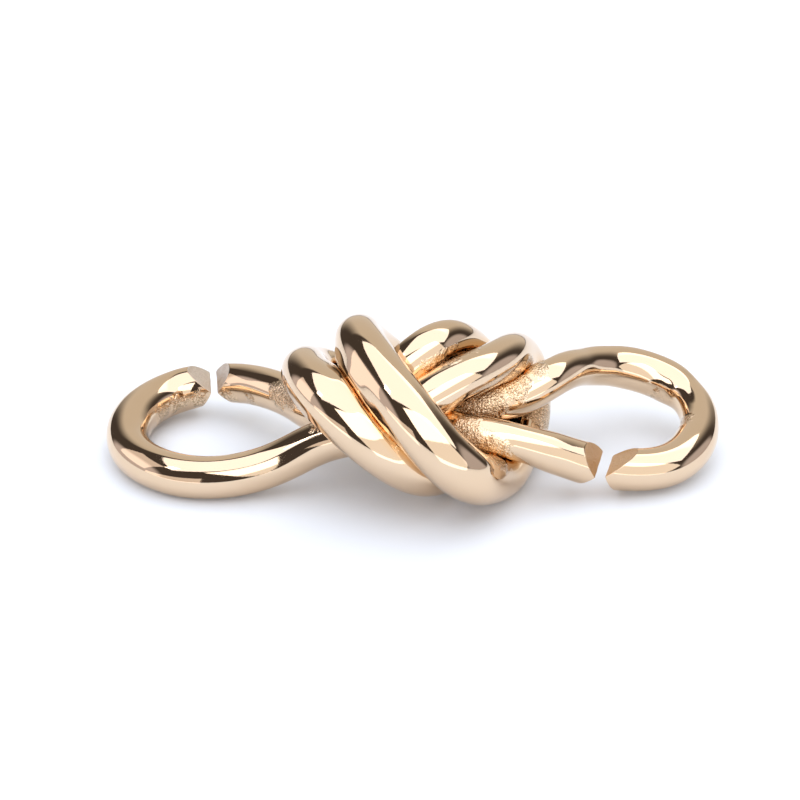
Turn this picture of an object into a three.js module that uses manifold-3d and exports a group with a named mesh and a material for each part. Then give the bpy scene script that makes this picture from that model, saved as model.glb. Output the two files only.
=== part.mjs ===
import * as THREE from 'three';
import { mergeVertices } from 'three/addons/utils/BufferGeometryUtils.js';
import Module from 'manifold-3d';

// A knotted link: one closed ring of round bar, doubled, tied in an overhand knot and laid
// down, with both end loops cut through. That leaves two bars: a looped bar, which carries
// both loops, and a tailed bar, which ends in two short tails. Millimetres, Z up, the table
// at Z = 0, +X towards the tail that lies in front, -Y towards the viewer.

// Bar
const barDiameter = 10;
const strandGap = 0.35;

// How full the bar is along its run: fullest in the two wraps that cross in front, a little
// slimmer where it curls under them, slimmest where a tail or a loop leaves the knot
const wrapDiameter = 1.22 * barDiameter;
const shoulderDiameter = 1.12 * barDiameter;
const curlDiameter = 1.06 * barDiameter;
const loopDiameter = 1.08 * barDiameter;
const loopSideDiameter = 0.92 * barDiameter;
const loopRootDiameter = 0.93 * barDiameter;
const tailDiameter = 0.96 * barDiameter;
const tailRootDiameter = 0.82 * barDiameter;

// Loops, measured on the centre line of the bar
const leftLoopRadius = 22.25;
const leftLoopRise = 3.2;
const rightLoopRadius = 17.3;
const rightLoopDepth = 36;
const rightLoopRise = 14.2;

// Cuts through the loops: the gap between the two chisel edges, and the bevels behind them
const leftCutGap = 1.5;
const rightCutGap = 2.4;
const topBevelLength = 4.4;
const underBevelLength = 3.9;
const edgeLift = 0.5;

// How each chisel edge lies, in degrees: turned away from straight back seen from above, and
// tipped towards the viewer
const leftCutAngle = -7;
const rightCutAngle = 16;
const leftLoopTipAngle = 4;
const leftTailTipAngle = 6;
const rightTailTipAngle = 8;
const rightLoopTipAngle = 0;

// Underside, ground flat where the sculpture stands
const footDepth = 0.4;

// Mesh density
const stationStep = 2.5;
const barSides = 20;
const curveSteps = 40;

const barRadius = barDiameter / 2;
const pitch = barDiameter + strandGap;
const degree = Math.PI / 180;

// Way points of the knot, in bar pitches: right, back and up from the middle of the knot
const knot = (x, y, z, diameter = barDiameter) => ({
  point: new THREE.Vector3(x * pitch, y * pitch, z * pitch),
  diameter,
});

// Where the loops stand beside the knot, in bar pitches: outwards from the middle of the knot
// to the near side of the loop, and back
const leftLoopPlace = { out: 2.3, back: 2 };
const rightLoopPlace = { out: 3.33, back: 1.67 };

// The left loop is a round arc, flat on the table and lifted a little towards the cut
const leftLoopCentre = new THREE.Vector2(
  -leftLoopPlace.out * pitch - leftLoopRadius,
  leftLoopPlace.back * pitch,
);
const leftLoop = (angle, rise = 0, diameter = barDiameter) => ({
  point: new THREE.Vector3(
    leftLoopCentre.x + leftLoopRadius * Math.cos(angle * degree),
    leftLoopCentre.y + leftLoopRadius * Math.sin(angle * degree),
    diameter / 2 + leftLoopRise * rise,
  ),
  diameter,
});

// The right loop is a leaning oval that climbs from the table to its root in the knot
const rightLoopCentre = new THREE.Vector2(
  rightLoopPlace.out * pitch + rightLoopRadius,
  rightLoopPlace.back * pitch,
);
const rightLoopLean = 0.2;
const rightLoopFrontAngle = -90;
const rightLoopRootAngle = 135;
const rightLoopClimbPower = 1.35;
const rightLoop = (angle, diameter = barDiameter) => {
  const across = rightLoopRadius * Math.cos(angle * degree);
  const climb = (angle - rightLoopFrontAngle) / (rightLoopRootAngle - rightLoopFrontAngle);
  return {
    point: new THREE.Vector3(
      rightLoopCentre.x + across,
      rightLoopCentre.y + (rightLoopDepth / 2) * Math.sin(angle * degree) + rightLoopLean * across,
      barRadius + rightLoopRise * climb ** rightLoopClimbPower,
    ),
    diameter,
  };
};

// The whole ring, from the left cut along the looped bar to the right cut, and back along
// the tailed bar
const loopedRoute = [
  leftLoop(118, 0.5, loopDiameter),
  leftLoop(145, 0.3, loopDiameter),
  leftLoop(172, 0.1, loopDiameter),
  leftLoop(200),
  leftLoop(228),
  leftLoop(256),
  leftLoop(283, 0.15),
  knot(-2.85, 0.15, 0.8),
  knot(-1.95, 0.26, 1.27),
  knot(-0.6, 0.08, 1.7),
  knot(0.75, 0.33, 2.45),
  knot(1.95, 1.25, 2.6),
  knot(2.55, 2.7, 2.08),
  knot(2.82, 2.95, 1.25),
  knot(2.7, 2.0, 0.52),
  knot(2.4, 0.9, 0.5),
  knot(1.98, -0.15, 0.52, curlDiameter),
  knot(0.95, -1.62, 1.49, wrapDiameter),
  knot(-0.06, -1.31, 2.49, wrapDiameter),
  knot(-0.91, -0.07, 3.1, wrapDiameter),
  knot(-1.27, 1.2, 3.21, shoulderDiameter),
  knot(-0.58, 2.35, 2.05),
  knot(0.35, 2.15, 1.5),
  knot(1.3, 1.38, 1.48),
  knot(2.45, 1.47, 1.78, loopRootDiameter),
  knot(3.35, 2.0, 2.06, loopRootDiameter),
  rightLoop(135, loopRootDiameter),
  rightLoop(108),
  rightLoop(80, loopDiameter),
  rightLoop(52, loopDiameter),
  rightLoop(24, loopSideDiameter),
  rightLoop(-5, loopSideDiameter),
  rightLoop(-35),
  rightLoop(-65),
];
const tailedRoute = [
  knot(3.2, -0.2, 1.06, tailDiameter),
  knot(2.2, -0.32, 1.42, tailRootDiameter),
  knot(1.15, 0.0, 1.5, tailRootDiameter),
  knot(-0.1, 1.05, 1.3),
  knot(-1.45, 2.1, 1.68),
  knot(-2.2, 1.75, 2.22),
  knot(-2.36, 0.75, 2.61, shoulderDiameter),
  knot(-1.84, -0.32, 2.6, wrapDiameter),
  knot(-0.96, -0.98, 2.02, shoulderDiameter),
  knot(0.07, -0.84, 1.13, shoulderDiameter),
  knot(0.82, 0.25, 0.56, curlDiameter),
  knot(1.45, 1.4, 0.49),
  knot(1.78, 2.5, 0.68),
  knot(1.68, 2.98, 1.5),
  knot(1.3, 2.4, 2.49),
  knot(0.48, 1.27, 3.07),
  knot(-0.6, 0.95, 2.2),
  knot(-1.75, 1.25, 1.45),
  knot(-2.55, 2.35, 1.24),
  knot(-3.35, 3.05, 1.17),
  knot(-4.1, 3.7, 0.95),
];
const leftCut = knot(-4.75, 3.82, 0.86);
const rightCut = knot(4.25, -0.06, 0.67);

// A closed run of stations along the ring, with the bar's radius at each
function layRing(waypoints) {
  const curve = new THREE.CatmullRomCurve3(waypoints.map((w) => w.point), true, 'centripetal');
  curve.arcLengthDivisions = waypoints.length * curveSteps;
  const reach = curve.getLengths();
  const total = reach[reach.length - 1];
  const count = Math.round(total / stationStep);
  const stations = curve.getSpacedPoints(count).slice(0, count).map((point) => ({ point, radius: 0 }));
  const marks = waypoints.map((w, i) => (reach[i * curveSteps] / total) * count);
  stations.forEach((station, i) => {
    const k = marks.findLastIndex((mark) => mark <= i);
    const from = waypoints[k];
    const to = waypoints[(k + 1) % waypoints.length];
    const end = k + 1 < marks.length ? marks[k + 1] : count;
    const t = THREE.MathUtils.smoothstep(i, marks[k], end);
    station.radius = THREE.MathUtils.lerp(from.diameter, to.diameter, t) / 2;
  });
  return { stations, marks };
}

// Takes the small waves out of the ring and leaves its bends
function fairRing(stations) {
  const rounds = 20;
  const weight = 0.05;
  const count = stations.length;
  for (let round = 0; round < rounds; round += 1) {
    const before = stations.map((s) => s.point.clone());
    const at = (i) => before[(i + count) % count];
    stations.forEach((station, i) => {
      station.point.addScaledVector(at(i), -6 * weight);
      station.point.addScaledVector(at(i - 1), 4 * weight);
      station.point.addScaledVector(at(i + 1), 4 * weight);
      station.point.addScaledVector(at(i - 2), -weight);
      station.point.addScaledVector(at(i + 2), -weight);
    });
  }
}

// Seats the strands against each other and on the table: each station moves until every
// other strand is clear by the gap, and the moves are spread smoothly along the bar. Stations
// that follow each other within the bend of one strand do not push each other
function seatRing(stations) {
  const rounds = 400;
  const bendReach = 2.3 * pitch;
  const count = stations.length;
  const skip = Math.ceil(bendReach / stationStep);
  const start = stations.map((s) => s.point.clone());
  const move = stations.map(() => new THREE.Vector3());
  const away = new THREE.Vector3();
  for (let round = 0; round < rounds; round += 1) {
    const spread = 0.5 * (1 - round / (rounds - 1));
    const before = move.map((m) => m.clone());
    move.forEach((m, i) => {
      const beside = before[(i + 1) % count].clone().add(before[(i + count - 1) % count]);
      m.lerp(beside.multiplyScalar(0.5), spread);
      stations[i].point.copy(start[i]).add(m);
    });
    for (let i = 0; i < count; i += 1) {
      for (let j = i + skip; j < count && j - i <= count - skip; j += 1) {
        const need = stations[i].radius + stations[j].radius + strandGap;
        away.subVectors(stations[i].point, stations[j].point);
        const distance = away.length();
        if (distance < need) {
          away.multiplyScalar((need - distance) / distance / 2);
          stations[i].point.add(away);
          stations[j].point.sub(away);
        }
      }
    }
    stations.forEach((station, i) => {
      station.point.z = Math.max(station.point.z, station.radius);
      move[i].subVectors(station.point, start[i]);
    });
  }
}

// The stations of one bar: those between two places on the ring, with an end at each place.
// A station too close to an end is left out
function cutRun(stations, from, to) {
  const tooClose = 0.3;
  const count = stations.length;
  const at = (place) => {
    const before = stations[Math.floor(place) % count];
    const after = stations[Math.ceil(place) % count];
    const t = place - Math.floor(place);
    const radius = THREE.MathUtils.lerp(before.radius, after.radius, t);
    return { point: before.point.clone().lerp(after.point, t), radius };
  };
  const run = [at(from)];
  for (let i = Math.ceil(from + tooClose); i <= to - tooClose; i += 1) {
    run.push(stations[i % count]);
  }
  run.push(at(to));
  return run;
}

// A round bar along a run of stations: rings carried along without twist, closed by a fan at
// each end
function sweepBar(run) {
  const tangents = run.map((station, i) => {
    const next = run[Math.min(i + 1, run.length - 1)].point;
    return next.clone().sub(run[Math.max(i - 1, 0)].point).normalize();
  });
  const side = new THREE.Vector3(0, 0, 1).cross(tangents[0]).normalize();
  const turn = new THREE.Quaternion();
  const positions = [];
  const index = [];
  run.forEach((station, i) => {
    if (i > 0) {
      turn.setFromUnitVectors(tangents[i - 1], tangents[i]);
      side.applyQuaternion(turn);
      side.addScaledVector(tangents[i], -side.dot(tangents[i])).normalize();
    }
    const up = tangents[i].clone().cross(side);
    for (let k = 0; k < barSides; k += 1) {
      const angle = (k / barSides) * 2 * Math.PI;
      const corner = station.point.clone();
      corner.addScaledVector(side, station.radius * Math.cos(angle));
      corner.addScaledVector(up, station.radius * Math.sin(angle));
      positions.push(...corner.toArray());
    }
  });
  for (let i = 0; i < run.length - 1; i += 1) {
    for (let k = 0; k < barSides; k += 1) {
      const a = i * barSides + k;
      const b = i * barSides + ((k + 1) % barSides);
      index.push(a, b, b + barSides, a, b + barSides, a + barSides);
    }
  }
  const last = (run.length - 1) * barSides;
  for (let k = 1; k < barSides - 1; k += 1) {
    index.push(0, k + 1, k);
    index.push(last, last + k, last + k + 1);
  }
  const geometry = new THREE.BufferGeometry();
  geometry.setAttribute('position', new THREE.Float32BufferAttribute(positions, 3));
  geometry.setIndex(index);
  return geometry;
}

const wasm = await Module();
wasm.setup();

function toSolid(geometry) {
  const plain = geometry.clone();
  plain.deleteAttribute('normal');
  plain.deleteAttribute('uv');
  const merged = mergeVertices(plain);
  return new wasm.Manifold(new wasm.Mesh({
    numProp: 3,
    vertProperties: Float32Array.from(merged.attributes.position.array),
    triVerts: Uint32Array.from(merged.index.array),
  }));
}

function toGeometry(solid) {
  const mesh = solid.getMesh();
  const geometry = new THREE.BufferGeometry();
  geometry.setAttribute('position', new THREE.BufferAttribute(Float32Array.from(mesh.vertProperties), 3));
  geometry.setIndex(new THREE.BufferAttribute(Uint32Array.from(mesh.triVerts), 1));
  geometry.computeVertexNormals();
  return geometry;
}

// A block whose near face lies on a bevel: through the chisel edge, facing outwards
function bevelCutter(edgePoint, outward, edge) {
  const width = 1.8 * barDiameter;
  const depth = 0.9 * barDiameter;
  const block = new THREE.BoxGeometry(width, width, depth);
  const basis = new THREE.Matrix4().makeBasis(edge.clone().cross(outward), edge.clone(), outward);
  basis.setPosition(edgePoint.clone().addScaledVector(outward, depth / 2));
  return toSolid(block.applyMatrix4(basis));
}

// Cuts the end of a bar to a chisel: a bevel on top and one underneath, which meet in an edge
function cutChisel(solid, tip, out, turned, tipped) {
  const edge = new THREE.Vector3(
    Math.sin(turned * degree) * Math.cos(tipped * degree),
    Math.cos(turned * degree) * Math.cos(tipped * degree),
    Math.sin(tipped * degree),
  );
  const ahead = out.clone().addScaledVector(edge, -out.dot(edge)).normalize();
  const upward = ahead.clone().cross(edge);
  upward.multiplyScalar(Math.sign(upward.z));
  const edgePoint = tip.clone().addScaledVector(upward, edgeLift);
  const top = ahead.clone().multiplyScalar(barRadius - edgeLift).addScaledVector(upward, topBevelLength);
  const under = ahead.clone().multiplyScalar(barRadius + edgeLift).addScaledVector(upward, -underBevelLength);
  return solid
    .subtract(bevelCutter(edgePoint, top.normalize(), edge))
    .subtract(bevelCutter(edgePoint, under.normalize(), edge));
}

// Takes off what reaches below the foot plane
function grindFoot(solid) {
  const { min, max } = solid.boundingBox();
  const slab = new THREE.BoxGeometry(2 * (max[0] - min[0]), 2 * (max[1] - min[1]), barDiameter);
  slab.translate((min[0] + max[0]) / 2, (min[1] + max[1]) / 2, footDepth - barDiameter / 2);
  return solid.subtract(toSolid(slab));
}

const waypoints = [leftCut, ...loopedRoute, rightCut, ...tailedRoute];
const { stations, marks } = layRing(waypoints);
fairRing(stations);
seatRing(stations);

const leftPlace = stations.length;
const rightPlace = marks[loopedRoute.length + 1];
const directionAt = (place) => {
  const i = Math.round(place);
  const count = stations.length;
  return stations[(i + 1) % count].point.clone().sub(stations[(i - 1) % count].point).normalize();
};

// One bar from cut to cut. Each chisel edge stops half the gap short of the middle of its cut
function makeBar(from, to, startEnd, finishEnd) {
  const run = cutRun(stations, from, to);
  let solid = toSolid(sweepBar(run));
  const startOut = directionAt(from + stations.length).negate();
  const startTip = run[0].point.clone().addScaledVector(startOut, -startEnd.gap / 2);
  solid = cutChisel(solid, startTip, startOut, startEnd.turned, startEnd.tipped);
  const finishOut = directionAt(to);
  const finishTip = run[run.length - 1].point.clone().addScaledVector(finishOut, -finishEnd.gap / 2);
  solid = cutChisel(solid, finishTip, finishOut, finishEnd.turned, finishEnd.tipped);
  return toGeometry(grindFoot(solid));
}

const leftLoopEnd = { gap: leftCutGap, turned: leftCutAngle, tipped: leftLoopTipAngle };
const leftTailEnd = { gap: leftCutGap, turned: leftCutAngle, tipped: leftTailTipAngle };
const rightTailEnd = { gap: rightCutGap, turned: rightCutAngle, tipped: rightTailTipAngle };
const rightLoopEnd = { gap: rightCutGap, turned: rightCutAngle, tipped: rightLoopTipAngle };

const bronze = { color: 0xd8a878, metalness: 1, roughness: 0.15 };
const loopedBar = new THREE.Mesh(
  makeBar(0, rightPlace, leftLoopEnd, rightLoopEnd),
  new THREE.MeshStandardMaterial(bronze),
);
loopedBar.name = 'looped_bar';
const tailedBar = new THREE.Mesh(
  makeBar(rightPlace, leftPlace, rightTailEnd, leftTailEnd),
  new THREE.MeshStandardMaterial(bronze),
);
tailedBar.name = 'tailed_bar';

// The origin is the middle of the footprint, on the table
const group = new THREE.Group();
group.add(loopedBar, tailedBar);
const middle = new THREE.Box3().setFromObject(group).getCenter(new THREE.Vector3());
group.position.set(-middle.x, -middle.y, -footDepth);
group.updateMatrixWorld(true);

export default group;
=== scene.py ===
import math

import bpy
import mathutils
import numpy as np
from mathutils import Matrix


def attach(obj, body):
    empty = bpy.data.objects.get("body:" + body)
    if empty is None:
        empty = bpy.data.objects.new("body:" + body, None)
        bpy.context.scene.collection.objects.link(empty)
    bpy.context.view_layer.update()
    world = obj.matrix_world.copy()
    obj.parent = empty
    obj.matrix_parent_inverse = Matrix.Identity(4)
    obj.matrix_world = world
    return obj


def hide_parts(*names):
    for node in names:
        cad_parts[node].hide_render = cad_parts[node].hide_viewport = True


# The looks of a doubled overhand knot of polished bronze bar. Both bars are laid again along
# the part's own route, as finer skins, and stand for its two solids. The route is in
# millimetres, the Blender objects are in metres.

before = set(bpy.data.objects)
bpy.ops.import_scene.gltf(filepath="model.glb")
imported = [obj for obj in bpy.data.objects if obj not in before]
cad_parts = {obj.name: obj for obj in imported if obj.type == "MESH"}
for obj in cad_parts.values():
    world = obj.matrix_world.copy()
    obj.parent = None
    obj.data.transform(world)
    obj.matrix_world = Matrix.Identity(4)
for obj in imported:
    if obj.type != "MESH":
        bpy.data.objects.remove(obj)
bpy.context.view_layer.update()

# Diameters of the bar: the plain bar, then where it is fuller or slimmer
BAR = 10.0
WRAP = 12.2
SHOULDER = 11.2
CURL = 10.6
LOOP = 10.8
LOOP_SIDE = 9.2
LOOP_ROOT = 9.3
TAIL = 9.6
TAIL_ROOT = 8.2

STRAND_GAP = 0.35
PITCH = BAR + STRAND_GAP

# Loops, measured on the centre line, and where their centres stand
LEFT_RADIUS = 22.25
LEFT_RISE = 3.2
LEFT_CENTRE = (-2.3 * PITCH - LEFT_RADIUS, 2 * PITCH)
RIGHT_RADIUS = 17.3
RIGHT_DEPTH = 36.0
RIGHT_RISE = 14.2
RIGHT_SKEW = 0.2
RIGHT_CENTRE = (3.33 * PITCH + RIGHT_RADIUS, 1.67 * PITCH)
RIGHT_ARC = (-90, 135)
CLIMB_POWER = 1.35

# Cuts through the loops, with their chisel ends; turns and tips are in degrees
LEFT_CUT_GAP = 1.5
RIGHT_CUT_GAP = 2.4
LEFT_CUT_TURN = -7
RIGHT_CUT_TURN = 16
LEFT_LOOP_TIP = 4
LEFT_TAIL_TIP = 6
RIGHT_LOOP_TIP = 0
RIGHT_TAIL_TIP = 8
TOP_BEVEL = 4.4
UNDER_BEVEL = 3.9
EDGE_LIFT = 0.5

# The ring is worked out at stations along it. The part's origin is the middle of its footprint,
# and its feet are ground flat by the foot's depth.
STATION = 2.5
CURVE_STEPS = 40
FAIR_ROUNDS = 20
FAIR_WEIGHT = 0.05
SEAT_ROUNDS = 400
SEAT_MARGIN = 1.0
SAME_STRAND = 2.3 * PITCH
FOOT_DEPTH = 0.4
SHIFT = np.array([-0.045856, -11.092190, -FOOT_DEPTH])


def knot(x, y, z, diameter=BAR):
    """A way point of the knot, in bar pitches: right, back and up."""
    return (x * PITCH, y * PITCH, z * PITCH, diameter)


def left_loop(angle, rise=0.0, diameter=BAR):
    """A way point of the left loop, a round arc that lifts a little towards its cut."""
    turn = math.radians(angle)
    return (LEFT_CENTRE[0] + LEFT_RADIUS * math.cos(turn),
            LEFT_CENTRE[1] + LEFT_RADIUS * math.sin(turn),
            diameter / 2 + LEFT_RISE * rise, diameter)


def right_loop(angle, diameter=BAR):
    """A way point of the right loop, a skewed oval that climbs towards the knot."""
    across = RIGHT_RADIUS * math.cos(math.radians(angle))
    back = RIGHT_DEPTH / 2 * math.sin(math.radians(angle))
    climb = (angle - RIGHT_ARC[0]) / (RIGHT_ARC[1] - RIGHT_ARC[0])
    return (RIGHT_CENTRE[0] + across, RIGHT_CENTRE[1] + back + RIGHT_SKEW * across,
            BAR / 2 + RIGHT_RISE * climb ** CLIMB_POWER, diameter)


LEFT_CUT = knot(-4.75, 3.82, 0.86)
RIGHT_CUT = knot(4.25, -0.06, 0.67)
LOOPED = [
    # round the left loop and into the knot under both front wraps
    left_loop(118, 0.5, LOOP), left_loop(145, 0.3, LOOP), left_loop(172, 0.1, LOOP),
    left_loop(200), left_loop(228), left_loop(256), left_loop(283, 0.15),
    knot(-2.85, 0.15, 0.8), knot(-1.95, 0.26, 1.27), knot(-0.6, 0.08, 1.7),
    # over the rear right shoulder and down the back
    knot(0.75, 0.33, 2.45), knot(1.95, 1.25, 2.6), knot(2.55, 2.7, 2.08),
    knot(2.82, 2.95, 1.25), knot(2.7, 2.0, 0.52), knot(2.4, 0.9, 0.5),
    # up the right-hand front wrap, over the top and down behind
    knot(1.98, -0.15, 0.52, CURL), knot(0.95, -1.62, 1.49, WRAP),
    knot(-0.06, -1.31, 2.49, WRAP), knot(-0.91, -0.07, 3.1, WRAP),
    knot(-1.27, 1.2, 3.21, SHOULDER), knot(-0.58, 2.35, 2.05), knot(0.35, 2.15, 1.5),
    # out to the right and round the right loop
    knot(1.3, 1.38, 1.48), knot(2.45, 1.47, 1.78, LOOP_ROOT), knot(3.35, 2.0, 2.06, LOOP_ROOT),
    right_loop(135, LOOP_ROOT), right_loop(108), right_loop(80, LOOP), right_loop(52, LOOP),
    right_loop(24, LOOP_SIDE), right_loop(-5, LOOP_SIDE), right_loop(-35), right_loop(-65),
]
TAILED = [
    # the right tail, through the knot and up at the back on the left
    knot(3.2, -0.2, 1.06, TAIL), knot(2.2, -0.32, 1.42, TAIL_ROOT), knot(1.15, 0.0, 1.5, TAIL_ROOT),
    knot(-0.1, 1.05, 1.3), knot(-1.45, 2.1, 1.68), knot(-2.2, 1.75, 2.22),
    # down the left-hand front wrap and under the knot
    knot(-2.36, 0.75, 2.61, SHOULDER), knot(-1.84, -0.32, 2.6, WRAP),
    knot(-0.96, -0.98, 2.02, SHOULDER), knot(0.07, -0.84, 1.13, SHOULDER),
    knot(0.82, 0.25, 0.56, CURL), knot(1.45, 1.4, 0.49), knot(1.78, 2.5, 0.68),
    # up the back and over the rear middle shoulder
    knot(1.68, 2.98, 1.5), knot(1.3, 2.4, 2.49), knot(0.48, 1.27, 3.07),
    # under the wraps and out to the left tail
    knot(-0.6, 0.95, 2.2), knot(-1.75, 1.25, 1.45), knot(-2.55, 2.35, 1.24),
    knot(-3.35, 3.05, 1.17), knot(-4.1, 3.7, 0.95),
]


def catmull_rom(points, t):
    """A closed centripetal curve through the points, at t from 0 to 1."""
    count = len(points)
    place = np.asarray(t) * count
    k = np.floor(place).astype(int)
    w = (place - k)[:, None]
    p = [points[(k + o) % count] for o in (-1, 0, 1, 2)]
    d = [np.maximum(((p[i + 1] - p[i]) ** 2).sum(1) ** 0.25, 1e-9)[:, None] for i in range(3)]
    t1 = ((p[1] - p[0]) / d[0] - (p[2] - p[0]) / (d[0] + d[1]) + (p[2] - p[1]) / d[1]) * d[1]
    t2 = ((p[2] - p[1]) / d[1] - (p[3] - p[1]) / (d[1] + d[2]) + (p[3] - p[2]) / d[2]) * d[1]
    c2 = -3 * p[1] + 3 * p[2] - 2 * t1 - t2
    c3 = 2 * p[1] - 2 * p[2] + t1 + t2
    return p[1] + t1 * w + c2 * w * w + c3 * w ** 3


def lay_ring(waypoints):
    """Evenly spaced stations along the closed curve, the bar's radius at each, and the place of
    each way point, counted in stations."""
    points = np.array([w[:3] for w in waypoints])
    diameters = np.array([w[3] for w in waypoints])
    t = np.linspace(0, 1, len(points) * CURVE_STEPS + 1)
    reach = np.r_[0, np.cumsum(np.linalg.norm(np.diff(catmull_rom(points, t), axis=0), axis=1))]
    count = int(round(reach[-1] / STATION))
    ring = catmull_rom(points, np.interp(np.arange(count) / count * reach[-1], reach, t))
    marks = reach[:-1:CURVE_STEPS] / reach[-1] * count
    i = np.arange(count)
    k = np.searchsorted(marks, i, side="right") - 1
    end = np.r_[marks[1:], count][k]
    s = (i - marks[k]) / (end - marks[k])
    s = s * s * (3 - 2 * s)
    radius = (diameters[k] + (diameters[(k + 1) % len(diameters)] - diameters[k]) * s) / 2
    return ring, radius, marks


def fair_ring(x):
    """Evens out the bends of the ring and keeps it where it is."""
    for _ in range(FAIR_ROUNDS):
        x = x + FAIR_WEIGHT * (4 * (np.roll(x, 1, 0) + np.roll(x, -1, 0)) - 6 * x
                               - np.roll(x, 2, 0) - np.roll(x, -2, 0))
    return x


def seat_ring(start, radius):
    """Moves the strands apart, and off the table, in small smooth moves."""
    count = len(start)
    own = math.ceil(SAME_STRAND / STATION)
    first, second = np.triu_indices(count, own)
    keep = second - first <= count - own
    first, second = first[keep], second[keep]
    need_all = radius[first] + radius[second] + STRAND_GAP
    move = np.zeros_like(start)
    for turn in range(SEAT_ROUNDS):
        spread = 0.5 * (1 - turn / (SEAT_ROUNDS - 1))
        move = move + ((np.roll(move, -1, 0) + np.roll(move, 1, 0)) / 2 - move) * spread
        here = start + move
        far = ((here[first] - here[second]) ** 2).sum(1)
        near = np.nonzero(far < (need_all + SEAT_MARGIN) ** 2)[0]
        x = here.tolist()
        for n in near.tolist():
            a, b, need = x[first[n]], x[second[n]], need_all[n]
            apart = (a[0] - b[0], a[1] - b[1], a[2] - b[2])
            d2 = apart[0] * apart[0] + apart[1] * apart[1] + apart[2] * apart[2]
            if d2 < need * need:
                d = math.sqrt(d2)
                f = (need - d) / d / 2
                for c in range(3):
                    a[c] += apart[c] * f
                    b[c] -= apart[c] * f
        here = np.array(x)
        here[:, 2] = np.maximum(here[:, 2], radius)
        move = here - start
    return start + move


def periodic_spline(values):
    """Second derivatives of a closed cubic spline with a knot at every station."""
    n = len(values)
    a = np.eye(n) * 4 + np.roll(np.eye(n), 1, 0) + np.roll(np.eye(n), -1, 0)
    return np.linalg.solve(a, 6 * (np.roll(values, 1, 0) - 2 * values + np.roll(values, -1, 0)))


ring, radius, marks = lay_ring([LEFT_CUT, *LOOPED, RIGHT_CUT, *TAILED])
ring = fair_ring(seat_ring(fair_ring(ring), radius))
COUNT = len(ring)
RIGHT_PLACE = marks[len(LOOPED) + 1]
table = np.c_[ring + SHIFT, radius]
bend = periodic_spline(table)


def along(place):
    """Points, tangents and radii of the ring at places counted in stations."""
    place = np.asarray(place, float)
    k = np.floor(place).astype(int)
    t = (place - k)[:, None]
    a, b = table[k % COUNT], table[(k + 1) % COUNT]
    ma, mb = bend[k % COUNT], bend[(k + 1) % COUNT]
    s = 1 - t
    x = s * a + t * b + ((s ** 3 - s) * ma + (t ** 3 - t) * mb) / 6
    d = b - a + ((1 - 3 * s * s) * ma + (3 * t * t - 1) * mb) / 6
    tangent = d[:, :3] / np.linalg.norm(d[:, :3], axis=1)[:, None]
    return x[:, :3], tangent, x[:, 3]


# Hand-made unevenness: sums of waves in space, about 1 high
WAVES = 14
HAND_WAVE_HEIGHT = 0.022
rng = np.random.default_rng(7)


def make_wobble(wavelength):
    """A function that gives the height of the waves at points in millimetres."""
    direction = rng.normal(size=(WAVES, 3))
    direction /= np.linalg.norm(direction, axis=1)[:, None]
    length = wavelength * rng.uniform(0.7, 1.5, WAVES)
    phase = rng.uniform(0, 2 * math.pi, WAVES)

    def wobble(p):
        turns = p @ (direction * (2 * math.pi / length)[:, None]).T + phase
        return np.sin(turns).sum(-1) / math.sqrt(WAVES / 2)
    return wobble


# The middle set of waves is spare: drawing it keeps the facets' waves where they are
hand_wave, _, facet_wave = [make_wobble(wavelength) for wavelength in (15.0, 2.6, 3.5)]


def zone(x, y, z, reach, fillet=0.0, skin=0.0):
    """A round zone of the part: how much wider the fillet is in its middle, in millimetres, and
    how far the cast skin was left unpolished there, from 0 to 1."""
    return {"centre": np.array([x, y, z]), "reach": reach, "fillet": fillet, "skin": skin}


ZONES = [
    # under the rear middle shoulder
    zone(3.5, -3, 29, 5.5, skin=0.8),
    zone(8.5, -4.5, 30.5, 5.8, skin=1.0),
    zone(12.5, -1, 32, 5.5, skin=0.9),
    # between the rear right shoulder and the root of the right loop
    zone(13.5, -1.5, 16.5, 8.0, 1.2, 1.0),
    zone(18.5, -1, 19, 8.0, 1.2, 1.0),
    zone(24, 1.5, 21.5, 7.5, 1.0, 1.0),
    zone(29, 6, 23.5, 6.5, 0.8, 0.9),
    # the strand that comes down behind the right loop
    zone(31.5, 10, 9.5, 9.0, 2.2, 1.0),
    # where the left tail and the left loop enter the knot
    zone(-31, 11, 15, 8.0, 0.8, 1.0),
    zone(-28.5, 7.5, 14.5, 6.0, 0.8, 0.9),
    zone(-22.5, -10.5, 16.5, 6.0, 0.8, 0.5),
    # the pit between the right front wrap and the right tail
    zone(12, -15, 17.5, 8.5, 0.4, 1.0),
    zone(18.5, -20, 14, 8.5, 0.4, 1.0),
    # inner flanks of the left loop, of the left tail and of the right loop
    zone(-61.5, 17.5, 5.2, 6.0, skin=0.8),
    zone(-57.5, 22, 5.6, 6.0, skin=0.8),
    zone(-52.5, 25, 5.6, 6.0, skin=0.8),
    zone(-45, 22.5, 6.6, 6.0, skin=0.7),
    zone(-39.5, 17.5, 7.4, 6.0, skin=0.8),
    zone(60, 18, 10, 6.0, skin=0.6),
    zone(65, 4, 11, 6.0, skin=0.7),
    # between the two front wraps, polished
    zone(-11, -17, 30, 18.0, 3.0),
    zone(-16.5, -2, 29, 12.0, 3.8),
]


def zone_field(p, quality):
    """The zones' fillet or skin at the points, fading smoothly from the middle of each zone."""
    total = np.zeros(p.shape[:-1])
    for z in ZONES:
        far = np.linalg.norm(p - z["centre"], axis=-1) / z["reach"]
        s = np.clip(1 - far, 0, 1)
        total = np.maximum(total, z[quality] * s * s * (3 - 2 * s))
    return total


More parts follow.
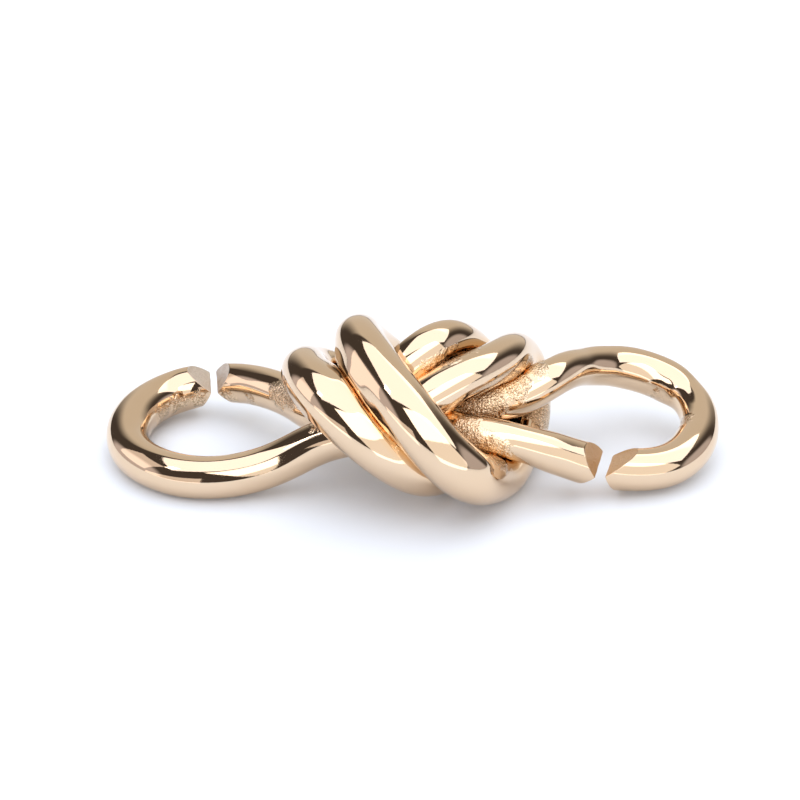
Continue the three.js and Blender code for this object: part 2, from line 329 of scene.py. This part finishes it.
# Strands grow together: each skin is pushed out to meet the other, until only a crack is left.
# Evening out the push then closes the crack in places, where the skins run a little into each
# other. A stretch of the ring within OWN_STATIONS of a place is that place's own strand.
BASE_FILLET = 2.6
CRACK = 0.02
PUSH_ROUNDS = 22
PUSH_GAIN = 1.4
SMOOTH_ROUNDS = 10
FAR_AWAY = 50.0
NEAR_ENOUGH = 6.5
OWN_STATIONS = 9.2
NEIGHBOUR_STEP = 0.4
neighbour_place = np.arange(0, COUNT, NEIGHBOUR_STEP)
neighbour, _, neighbour_radius = along(neighbour_place)
next_neighbour = np.roll(neighbour, -1, 0)
next_radius = np.roll(neighbour_radius, -1)


def near_segments(place, centre, r):
    """The short pieces of the other strands that lie near one row of a bar."""
    apart = np.abs(neighbour_place - place % COUNT)
    apart = np.minimum(apart, COUNT - apart)
    far = np.linalg.norm(neighbour - centre, axis=1)
    return np.nonzero((apart > OWN_STATIONS) & (far < r + neighbour_radius + NEAR_ENOUGH))[0]


def clear_of(points, segments):
    """How far each point is from the surface of the other strands."""
    a, b = neighbour[segments], next_neighbour[segments]
    ra, rb = neighbour_radius[segments], next_radius[segments]
    ab = b - a
    ap = points[:, None, :] - a[None]
    t = np.clip((ap * ab).sum(-1) / (ab * ab).sum(-1), 0, 1)
    gap = np.sqrt(((ap - t[..., None] * ab) ** 2).sum(-1)) - (ra + t * (rb - ra))
    return gap.min(1)


def smooth_grid(values):
    """Evens the values out around the bar and along it. The end rows only even out around it."""
    for _ in range(SMOOTH_ROUNDS):
        values = values / 2 + (np.roll(values, 1, 1) + np.roll(values, -1, 1)) / 4
        values[1:-1] = values[1:-1] / 2 + (values[2:] + values[:-2]) / 4
    return values


def fuse(places, centres, normals, reach):
    """Pushes the skin out along the normals where another strand is close, so that the two
    run into one fillet. Returns the new reach and how clear the plain skin is."""
    clear = np.full(reach.shape, FAR_AWAY)
    grown = reach.copy()
    for i in range(len(places)):
        segments = near_segments(places[i].mean(), centres[i].mean(0), reach[i].max())
        if not len(segments):
            continue
        base = centres[i] + normals[i] * reach[i][:, None]
        clear[i] = clear_of(base, segments)
        width = BASE_FILLET + zone_field(base, "fillet")
        active = np.nonzero(clear[i] < width)[0]
        if not len(active):
            continue
        k = width[active]
        out = np.zeros(len(active))
        for _ in range(PUSH_ROUNDS):
            other = clear_of(base[active] + normals[i][active] * out[:, None], segments)
            h = np.clip(k - np.abs(out - other), 0, None) / k
            field = np.minimum(out, other) - h * h * k / 4
            room = other - out - CRACK
            step = np.minimum(np.maximum(-field, 0) * PUSH_GAIN, room / 2)
            out += np.where(room > 0, step, 0)
        grown[i][active] += out
    return reach + smooth_grid(grown - reach), clear


# A bar's skin is a closed grid: rows along the bar, columns around it. Lengths and steps along
# the bar are in stations.
SIDES = 96
COLUMNS = np.arange(SIDES)
SECTOR = 2 * math.pi / SIDES
HALF = SIDES // 2
ROW_STEP = 0.2
END_LENGTH = 4.4
END_ROWS = 30
FACET_ROWS = 15
EDGE_SHARE = 0.985
FACET_HOLLOW = 0.10
FACET_WAVE_HEIGHT = 0.035
CREASE_RADIUS = 0.2
CREASE_ROWS = FACET_ROWS + END_ROWS - 6
CREASE_MARGIN = 4
FRAME_STEP = 0.1
SEARCH_STEP = 0.02
PAST_CUT = 1.0


def carried_frame(start, finish):
    """A function that gives the bar's centre, tangent, radius and two directions across it, at
    places counted in stations. The directions are carried along the bar without twist."""
    frame_place = np.arange(start - PAST_CUT, finish + PAST_CUT, FRAME_STEP)
    _, tangents, _ = along(frame_place)
    side = np.cross([0, 0, 1.0], tangents[0])
    side /= np.linalg.norm(side)
    sides = [side]
    for a, b in zip(tangents[:-1], tangents[1:]):
        axis = np.cross(a, b)
        side = side + np.cross(axis, side) + np.cross(axis, np.cross(axis, side)) / (1 + a @ b)
        side = side - b * (side @ b)
        side /= np.linalg.norm(side)
        sides.append(side)
    sides = np.array(sides)

    def frame_at(place):
        x, tangent, r = along(place)
        side = np.stack([np.interp(place, frame_place, sides[:, c]) for c in range(3)], -1)
        side -= tangent * (side * tangent).sum(-1)[:, None]
        side /= np.linalg.norm(side, axis=-1)[:, None]
        return x, tangent, r, side, np.cross(tangent, side)
    return frame_at


def chisel(frame_at, place, sign, gap, turn, tip_angle):
    """A chisel end: its edge, and the flat facet above and below the edge. The sign is -1 where
    the bar starts and 1 where it ends."""
    x, tangent, _, side, up = (v[0] for v in frame_at(np.array([place])))
    t, p = math.radians(turn), math.radians(tip_angle)
    edge = np.array([math.sin(t) * math.cos(p), math.cos(t) * math.cos(p), math.sin(p)])
    out = tangent * sign
    ahead = out - edge * (out @ edge)
    ahead /= np.linalg.norm(ahead)
    upward = np.cross(ahead, edge)
    upward *= np.sign(upward[2])
    top = ahead * (BAR / 2 - EDGE_LIFT) + upward * TOP_BEVEL
    under = ahead * (BAR / 2 + EDGE_LIFT) - upward * UNDER_BEVEL
    return {"place": place, "sign": sign, "edge": edge,
            "point": x - tangent * sign * gap / 2 + upward * EDGE_LIFT,
            "top": top / np.linalg.norm(top), "under": under / np.linalg.norm(under),
            "angle": math.atan2(edge @ up, edge @ side)}


def bar_skin(frame_at, cuts):
    """A function that gives the centre, the outward direction and the radius for arrays of
    places and columns. A slight even twist brings a column onto both chisel edges."""
    start, finish = cuts[0]["place"], cuts[1]["place"]
    between = cuts[1]["angle"] - cuts[0]["angle"]
    turns = round(between / SECTOR)
    twist = between - turns * SECTOR
    cuts[0]["column"], cuts[1]["column"] = 0, turns % SIDES

    def skin_at(place, column):
        x, _, r, side, up = frame_at(place.ravel())
        angle = (column.ravel() * SECTOR + cuts[0]["angle"]
                 + twist * (place.ravel() - start) / (finish - start))[:, None]
        normal = side * np.cos(angle) + up * np.sin(angle)
        return x.reshape(*place.shape, 3), normal.reshape(*place.shape, 3), r.reshape(place.shape)
    return skin_at


def column_ends(skin_at, cut):
    """The place where each column of the bar runs into one of the chisel's two facets."""
    reach = np.arange(-END_LENGTH + ROW_STEP, PAST_CUT, SEARCH_STEP)
    grid = cut["place"] + cut["sign"] * reach[:, None] + np.zeros(SIDES)
    x, normal, r = skin_at(grid, np.broadcast_to(COLUMNS, grid.shape))
    p = x + normal * r[..., None] - cut["point"]
    past = np.maximum(p @ cut["top"], p @ cut["under"])
    hit = (past > 0).argmax(0)
    lo, hi = past[hit - 1, COLUMNS], past[hit, COLUMNS]
    return cut["place"] + cut["sign"] * (reach[hit - 1] + SEARCH_STEP * lo / (lo - hi))


def row_places(cuts, ends):
    """Places of the grid: even rows along the bar, and rows that bend to meet the facets."""
    start, finish = cuts[0]["place"], cuts[1]["place"]
    ease = np.sin(np.linspace(0, 1, END_ROWS + 1) * math.pi / 2)[:, None]
    head = ends[0] + (start + END_LENGTH - ends[0]) * (1 - ease[::-1])
    tail = finish - END_LENGTH + (ends[1] - finish + END_LENGTH) * ease
    middle = np.arange(start + END_LENGTH + ROW_STEP, finish - END_LENGTH - ROW_STEP / 2, ROW_STEP)
    return np.vstack([head, middle[:, None] + np.zeros(SIDES), tail])


def facets(cut, border):
    """The chisel edge, and the rows of the two facets that run from the border to it. The facets
    are slightly hollow and uneven."""
    offset = (COLUMNS - cut["column"]) % SIDES
    along_edge = EDGE_SHARE * BAR / 2 * np.cos(offset * SECTOR)
    ridge = cut["point"] + along_edge[:, None] * cut["edge"]
    f = 0.5 * (1 - np.cos(np.linspace(0, 1, FACET_ROWS + 2)[1:-1] * math.pi))
    rows = border + f[:, None, None] * (ridge - border)
    height = (border - cut["point"]) @ np.array([cut["top"], cut["under"]]).T
    facing = np.where(height[:, :1] > height[:, 1:], cut["top"], cut["under"])
    depth = FACET_HOLLOW * np.sin(f * math.pi)[:, None] + FACET_WAVE_HEIGHT * facet_wave(rows)
    return ridge, rows - facing * depth[..., None]


def rounded(line):
    """A line of points, evened out over a short length to round its corners."""
    at = np.r_[0, np.cumsum(np.linalg.norm(np.diff(line, axis=0), axis=1))]
    samples = np.linspace(-1, 1, 9)
    total = np.zeros_like(line)
    for o in samples:
        q = at + o * CREASE_RADIUS
        total += np.stack([np.interp(q, at, line[:, c]) for c in range(3)], -1)
    return total / len(samples)


def round_creases(part, ridge, column):
    """Rounds the chisel edge and the creases beside it, along each pair of columns that meet in
    the edge. The part's first row is the one next to the edge."""
    for j in range(HALF + 1):
        a, b = (column + j) % SIDES, (column - j) % SIDES
        line = rounded(np.vstack([part[:CREASE_ROWS, a][::-1], ridge[a][None], part[:CREASE_ROWS, b]]))
        part[:CREASE_ROWS - CREASE_MARGIN, a] = line[CREASE_MARGIN:CREASE_ROWS][::-1]
        part[:CREASE_ROWS - CREASE_MARGIN, b] = line[CREASE_ROWS + 1:-CREASE_MARGIN]
        ridge[a] = ridge[b] = line[CREASE_ROWS]


def closed_mesh(name, grid, ridges, cuts):
    """Joins the grid and its two chisel edges into one closed mesh. Returns it with its points."""
    total = grid.shape[0] * SIDES
    points = [grid.reshape(-1, 3)]
    edge_rows = []
    for ridge, cut in zip(ridges, cuts):
        points.append(ridge[(cut["column"] + np.arange(HALF + 1)) % SIDES])
        offset = (COLUMNS - cut["column"]) % SIDES
        edge_rows.append(total + np.minimum(offset, SIDES - offset))
        total += HALF + 1
    points = np.vstack(points)
    index = np.arange(grid.shape[0] * SIDES).reshape(-1, SIDES)
    index = np.vstack([edge_rows[0], index, edge_rows[1]])
    a, b = index[:-1], index[1:]
    quads = np.stack([a, np.roll(a, -1, 1), np.roll(b, -1, 1), b], -1).reshape(-1, 4)
    mesh = bpy.data.meshes.new(name)
    mesh.from_pydata((points / 1000).tolist(), [], [tuple(dict.fromkeys(q)) for q in quads.tolist()])
    mesh.validate()
    mesh.shade_smooth()
    return mesh, points


# How near the other strand is, in millimetres, where an effect is full and where it ends
SKIN_IN_CREVICE = (1.0, 3.2)
# painted reflection: how near the other strand is where the orange tint is full and where it ends
PAINTED_INTERREFLECTION_IN_CREVICE = (0.6, 3.0)
CREVICE_SKIN = 0.4


def fade(clear, full, end):
    """1 where the other strand is as near as full, down to 0 where it is as far as end."""
    return np.clip((end - clear) / (end - full), 0, 1)


def make_bar(name, start, finish, first_end, last_end):
    """One bar from start to finish, counted in stations, with a chisel end at both. An end is
    the cut's gap, its turn and its tip."""
    frame_at = carried_frame(start, finish)
    cuts = [chisel(frame_at, start, -1, *first_end), chisel(frame_at, finish, 1, *last_end)]
    skin_at = bar_skin(frame_at, cuts)
    places = row_places(cuts, [column_ends(skin_at, cut) for cut in cuts])
    centre, normal, r = skin_at(places, np.broadcast_to(COLUMNS, places.shape))
    reach = r + HAND_WAVE_HEIGHT * hand_wave(centre + normal * r[..., None])
    grown, clear = fuse(places, centre, normal, reach)
    skin = centre + normal * grown[..., None]

    head_ridge, head_rows = facets(cuts[0], skin[0])
    tail_ridge, tail_rows = facets(cuts[1], skin[-1])
    grid = np.concatenate([head_rows[::-1], skin, tail_rows])
    round_creases(grid, head_ridge, cuts[0]["column"])
    round_creases(grid[::-1], tail_ridge, cuts[1]["column"])
    grid[..., 2] = np.maximum(grid[..., 2], 0)
    mesh, points = closed_mesh(name, grid, (head_ridge, tail_ridge), cuts)

    # where the surface is a facet, cast skin or a crevice, for the material, which paints an orange
    # reflection into the crevices
    on_facet = np.ones(len(points))
    close = np.full(len(points), FAR_AWAY)
    plain = slice(FACET_ROWS * SIDES, (FACET_ROWS + len(skin)) * SIDES)
    on_facet[plain] = 0
    close[plain] = clear.ravel()
    crevice = CREVICE_SKIN * fade(close, *SKIN_IN_CREVICE)
    on_skin = np.clip(np.maximum(zone_field(points, "skin"), crevice), 0, 1)
    # painted reflection: an orange tint near the other strand, standing in for the strands mirroring
    # each other
    painted_interreflection = fade(close, *PAINTED_INTERREFLECTION_IN_CREVICE)
    for label, values in (("facet", on_facet), ("skin", on_skin), ("painted_interreflection", painted_interreflection)):
        layer = mesh.attributes.new(label, "FLOAT", "POINT")
        layer.data.foreach_set("value", values.astype(np.float32))
    bar = bpy.data.objects.new(name, mesh)
    bpy.context.scene.collection.objects.link(bar)
    return bar


looped = make_bar("looped_bar_skin", 0.0, RIGHT_PLACE,
                  (LEFT_CUT_GAP, LEFT_CUT_TURN, LEFT_LOOP_TIP),
                  (RIGHT_CUT_GAP, RIGHT_CUT_TURN, RIGHT_LOOP_TIP))
tailed = make_bar("tailed_bar_skin", RIGHT_PLACE, float(COUNT),
                  (RIGHT_CUT_GAP, RIGHT_CUT_TURN, RIGHT_TAIL_TIP),
                  (LEFT_CUT_GAP, LEFT_CUT_TURN, LEFT_TAIL_TIP))


class Nodes:
    """The few kinds of node that the bronze and the room need."""

    def __init__(self, tree):
        self.tree = tree
        tree.nodes.clear()

    def add(self, kind, **values):
        made = self.tree.nodes.new(kind)
        for key, value in values.items():
            if key in made.inputs:
                made.inputs[key].default_value = value
            else:
                setattr(made, key, value)
        return made

    def feed(self, socket, value):
        """Gives a socket a number, a colour or another node's output."""
        if isinstance(value, (int, float, tuple)):
            socket.default_value = value
        else:
            self.tree.links.new(value, socket)

    def calc(self, operation, *values):
        made = self.add("ShaderNodeMath", operation=operation)
        for socket, value in zip(made.inputs, values):
            self.feed(socket, value)
        return made.outputs[0]

    def ramp(self, value, low, high, under=0.0, over=1.0):
        """Goes smoothly from under, where the value is low, to over, where it is high."""
        made = self.add("ShaderNodeMapRange", interpolation_type="SMOOTHSTEP")
        for name, number in (("From Min", low), ("From Max", high), ("To Min", under), ("To Max", over)):
            made.inputs[name].default_value = number
        self.feed(made.inputs["Value"], value)
        return made.outputs["Result"]

    def mix(self, factor, a, b):
        made = self.add("ShaderNodeMix", data_type="RGBA")
        self.feed(made.inputs["Factor"], factor)
        self.feed(made.inputs[6], a)
        self.feed(made.inputs[7], b)
        return made.outputs[2]


def rgb(red, green, blue):
    return (red, green, blue, 1)


def polished_bronze():
    """Mirror polish with fine specks, cast skin left in the grooves and matt chisel facets."""
    material = bpy.data.materials.new("polished_bronze")
    material.use_nodes = True
    nodes = Nodes(material.node_tree)
    calc, ramp, mix = nodes.calc, nodes.ramp, nodes.mix
    output = nodes.add("ShaderNodeOutputMaterial")
    shader = nodes.add("ShaderNodeBsdfPrincipled", Metallic=1.0)
    nodes.feed(output.inputs[0], shader.outputs[0])
    coords = nodes.add("ShaderNodeTexCoord").outputs["Object"]

    def attribute(name):
        return nodes.add("ShaderNodeAttribute", attribute_name=name).outputs["Fac"]

    def noise(scale, detail=2.0, roughness=0.5):
        made = nodes.add("ShaderNodeTexNoise", Scale=scale, Detail=detail, Roughness=roughness)
        nodes.feed(made.inputs["Vector"], coords)
        return made.outputs["Fac"]

    def scaled(value, factor):
        return calc("MULTIPLY", value, factor)

    # the cast skin has a ragged border
    ragged = scaled(calc("SUBTRACT", noise(420, 3), 0.5), 0.9)
    skin_mask = ramp(calc("ADD", attribute("skin"), ragged), 0.35, 0.75)
    facet_mask = ramp(attribute("facet"), 0.4, 0.9)
    matt = calc("MAXIMUM", skin_mask, facet_mask)

    # colours: the polish, the sandy skin, a painted orange reflection of one strand in the other along
    # the crevices, and the facets, which are pale beige at the left cut and golden brown at the right
    # one
    tint = mix(ramp(noise(60, 2), 0.35, 0.65), rgb(0.755, 0.568, 0.395), rgb(0.735, 0.548, 0.375))
    sand = mix(ramp(noise(2300, 2, 0.6), 0.38, 0.62), rgb(0.50, 0.35, 0.21), rgb(0.93, 0.72, 0.51))
    tint = mix(skin_mask, tint, sand)
    # painted reflection: the crevices tinted orange, as if the two strands mirrored each other there
    tint = mix(attribute("painted_interreflection"), tint, rgb(0.83, 0.54, 0.28))
    across = nodes.add("ShaderNodeSeparateXYZ")
    nodes.feed(across.inputs[0], coords)
    to_the_right = ramp(across.outputs["X"], -0.01, 0.01)
    cut_tint = mix(to_the_right, rgb(0.75, 0.62, 0.50), rgb(0.72, 0.47, 0.25))
    nodes.feed(shader.inputs["Base Color"], mix(facet_mask, tint, cut_tint))

    polish = ramp(noise(900, 4, 0.6), 0.3, 0.75, 0.04, 0.08)
    roughness = calc("ADD", polish, scaled(skin_mask, 0.14))
    nodes.feed(shader.inputs["Roughness"], calc("ADD", roughness, scaled(facet_mask, 0.30)))

    # heights in metres: coarse grain where it is matt, fine specks everywhere
    grain = calc("ADD", scaled(noise(2200, 2, 0.6), 1.0), scaled(noise(900, 2), 0.5))
    grain = scaled(calc("MULTIPLY", grain, matt), 0.00036)
    speck = scaled(noise(1500, 3, 0.6), 0.0000035)
    bump = nodes.add("ShaderNodeBump", Strength=1.0, Distance=1.0)
    nodes.feed(bump.inputs["Height"], calc("ADD", grain, speck))
    nodes.feed(shader.inputs["Normal"], bump.outputs[0])
    return material


bronze = polished_bronze()
for bar, cad in ((looped, "looped_bar"), (tailed, "tailed_bar")):
    bar.data.materials.append(bronze)
    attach(bar, "root")
    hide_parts(cad)

# The studio, in metres: a sheet of pale paper, softboxes that the bronze mirrors, and others
# that light the paper only
FLOOR_HALF = 3.0
FLOOR_DROP = 0.0002
PAPER = rgb(0.845, 0.89, 0.93)
PAPER_ROUGHNESS = 0.9


def lay_floor():
    mesh = bpy.data.meshes.new("floor")
    corners = [(x * FLOOR_HALF, y * FLOOR_HALF, 0) for x, y in ((-1, -1), (1, -1), (1, 1), (-1, 1))]
    mesh.from_pydata(corners, [], [(0, 1, 2, 3)])
    paper = bpy.data.materials.new("paper")
    paper.use_nodes = True
    shader = paper.node_tree.nodes["Principled BSDF"]
    shader.inputs["Base Color"].default_value = PAPER
    shader.inputs["Roughness"].default_value = PAPER_ROUGHNESS
    mesh.materials.append(paper)
    floor = bpy.data.objects.new("floor", mesh)
    floor.location.z = -FLOOR_DROP
    bpy.context.scene.collection.objects.link(floor)
    return floor


floor = lay_floor()


def seen_from_sculpture(up_angle, right_angle, distance):
    """A place so many degrees up from the front horizon and over to the back, and so many to
    the right."""
    t, x = math.radians(up_angle), math.radians(right_angle)
    direction = (math.sin(x), -math.cos(x) * math.cos(t), math.cos(x) * math.sin(t))
    return mathutils.Vector(direction) * distance


def softbox(name, place, size, radiance, facing=None, roll=0.0, mirrored=True, colour=(1, 1, 1)):
    """A rectangular panel of even radiance. Without a facing it looks at the sculpture. A
    mirrored one shows in the bronze alone, and the others light the paper alone."""
    light = bpy.data.lights.new(name, "AREA")
    light.color = colour
    light.shape = "RECTANGLE"
    light.size, light.size_y = size
    light.energy = radiance * math.pi * size[0] * size[1]
    lamp = bpy.data.objects.new(name, light)
    lamp.location = place
    aim = mathutils.Vector(facing or -lamp.location).to_track_quat("-Z", "Y")
    lamp.rotation_euler = (aim @ mathutils.Quaternion((0, 0, 1), math.radians(roll))).to_euler()
    lamp.visible_camera = False
    lamp.visible_glossy = mirrored
    lamp.visible_diffuse = not mirrored
    bpy.context.scene.collection.objects.link(lamp)


COOL = (0.94, 0.97, 1.06)
ROSY = (1.0, 0.95, 0.95)
softbox("overhead", (0.12, 0.105, 0.51), (0.88, 0.72), 1.75, (0, 0.52, -0.855), colour=COOL)
softbox("left_strip", (-0.19, 0, 0.085), (0.11, 0.11), 0.8, (0.88, 0, -0.47), colour=(1, 0.94, 0.95))
softbox("bare_lamp", seen_from_sculpture(70, -37, 0.5), (0.06, 0.09), 5.0)

# Panels in front, with a slanted dark gap between the right pair and the left one. The upper
# panel overlaps its neighbour, so it stands nearer than the rest.
FRONT_Y = -0.155
NEARER = 0.004
SLANT = 27
TO_BACK = (0, 1, 0)
softbox("front_right", (0.1196, FRONT_Y, 0.1357), (0.34, 0.30), 1.12, TO_BACK, SLANT)
softbox("front_upper", (0.0861, FRONT_Y + NEARER, 0.2028), (0.34, 0.15), 1.38, TO_BACK, SLANT)
softbox("front_left", (-0.295, FRONT_Y, 0.02), (0.42, 0.08), 0.84, TO_BACK, colour=ROSY)

# A big pale sky for the paper
SKY = (0.975, 1.0, 1.08)
SKY_TOP = 1.2
SKY_OUT = 1.5
SKY_WALL = (3, 1.2)
softbox("sky_top", (0, 0, SKY_TOP), (2.2, 2.2), 1.68, (0, 0, -1), mirrored=False, colour=SKY)
for name, x, y, radiance in (("sky_back", 0, 1, 0.7), ("sky_front", 0, -1, 1.6),
                             ("sky_left", -1, 0, 0.8), ("sky_right", 1, 0, 0.8)):
    softbox(name, (x * SKY_OUT, y * SKY_OUT, SKY_TOP / 2), SKY_WALL, radiance, (-x, -y, 0),
            mirrored=False, colour=SKY)


def light_room():
    """What the bronze mirrors beyond the panels: a dark room, beige behind and grey at both
    sides. The camera sees plain white."""
    world = bpy.data.worlds.new("studio")
    bpy.context.scene.world = world
    world.use_nodes = True
    nodes = Nodes(world.node_tree)
    calc, ramp, mix = nodes.calc, nodes.ramp, nodes.mix
    output = nodes.add("ShaderNodeOutputWorld")
    split = nodes.add("ShaderNodeSeparateXYZ")
    nodes.feed(split.inputs[0], nodes.add("ShaderNodeTexCoord").outputs["Generated"])
    right = split.outputs["X"]

    # radians up from the front horizon and over to the back; the beige begins at a slant
    up_and_over = calc("ARCTAN2", split.outputs["Z"], calc("MULTIPLY", split.outputs["Y"], -1.0))
    behind = ramp(calc("MULTIPLY_ADD", right, 0.55, up_and_over), 2.08, 2.18)
    between_sides = calc("MULTIPLY", ramp(right, -0.62, -0.20), ramp(right, 0.82, 0.45))
    room = mix(calc("MULTIPLY", behind, between_sides), rgb(0.072, 0.062, 0.058), rgb(0.76, 0.73, 0.67))
    room = mix(ramp(right, -0.78, -0.88), room, rgb(0.68, 0.65, 0.71))
    room = mix(ramp(right, 0.86, 0.94), room, rgb(0.60, 0.58, 0.63))

    mirrored = nodes.add("ShaderNodeBackground", Strength=1.0)
    nodes.feed(mirrored.inputs["Color"], room)
    seen = nodes.add("ShaderNodeBackground", Color=rgb(1, 1, 1), Strength=1.0)
    pick = nodes.add("ShaderNodeMixShader")
    nodes.feed(pick.inputs[0], nodes.add("ShaderNodeLightPath").outputs["Is Camera Ray"])
    nodes.feed(pick.inputs[1], mirrored.outputs[0])
    nodes.feed(pick.inputs[2], seen.outputs[0])
    nodes.feed(output.inputs[0], pick.outputs[0])


light_room()

view = bpy.context.scene.view_settings
view.view_transform = "Standard"
view.look = "None"
view.exposure = 0.0
view.gamma = 1.0

# The photograph's camera: in millimetres before the shift, level from side to side, looking
# down at the sculpture
CAMERA_PLACE = np.array([-2.79, -364.4, 209.95])
LOOK_DOWN = 27
SENSOR = 36
FOCAL_PIXELS = 1806
PHOTO_PIXELS = 800
lens = bpy.data.cameras.new("camera")
lens.sensor_width = SENSOR
lens.lens = SENSOR * FOCAL_PIXELS / PHOTO_PIXELS
camera = bpy.data.objects.new("camera", lens)
camera.location = (CAMERA_PLACE + SHIFT) / 1000
camera.rotation_euler = (math.radians(90 - LOOK_DOWN), 0, 0)
bpy.context.scene.collection.objects.link(camera)
bpy.context.scene.camera = camera

bpy.context.view_layer.update()
